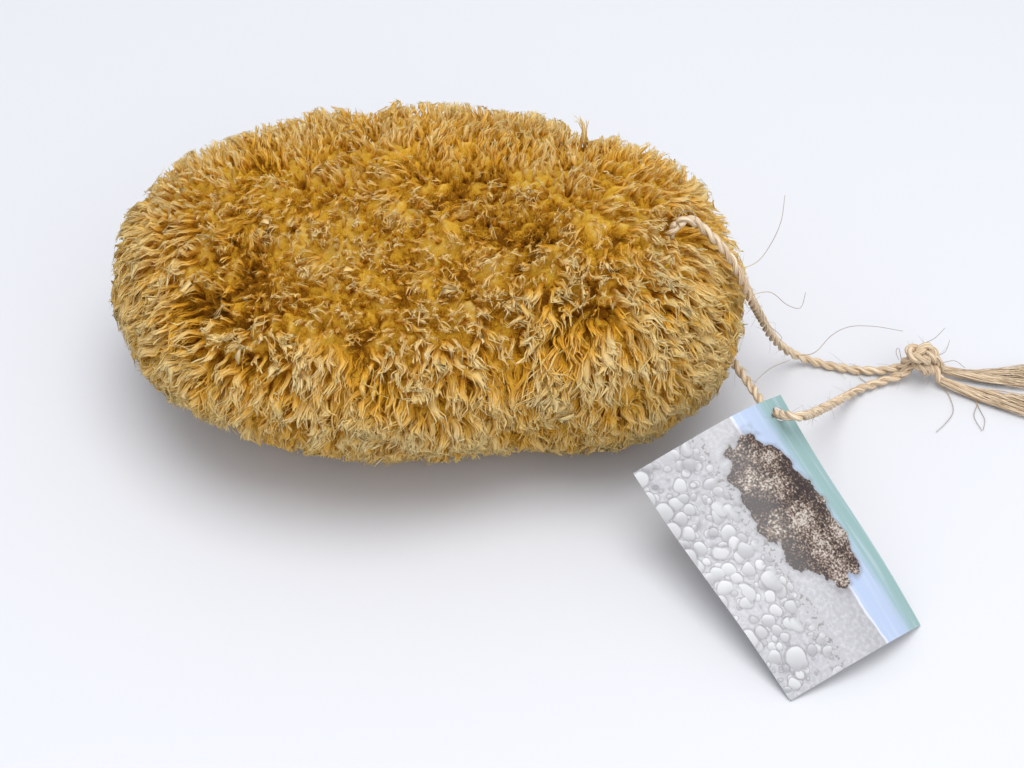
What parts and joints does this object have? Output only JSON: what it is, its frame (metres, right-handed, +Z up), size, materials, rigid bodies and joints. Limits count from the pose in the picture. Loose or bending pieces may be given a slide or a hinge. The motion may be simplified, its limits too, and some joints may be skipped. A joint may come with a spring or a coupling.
{
  "type": "natural sea sponge",
  "caption": "Dry tufted natural bath sponge lying on its cut base, with a knotted sisal hanging loop and an unlettered card tag.",
  "frame": {"origin": "on the resting surface, under the middle of the sponge", "axes": "+Z up, +X along the sponge towards the end with the twine, +Y away from the side where the tag lies"},
  "size_m": [0.2957, 0.1861, 0.0873],
  "materials": {
    "sponge_fibre": "dry, matte, softly see-through tufts",
    "sisal": "dry laid fibres with a slight sheen",
    "tag_card": "satin print on white card"
  },
  "bodies": {
    "root": {"sponge": "sponge_fibre", "twine_threaded": "sisal", "twine_upper": "sisal", "twine_lower": "sisal", "knot": "sisal", "tail_upper": "sisal", "tail_lower": "sisal", "tag": "tag_card"}
  },
  "joints": []
}
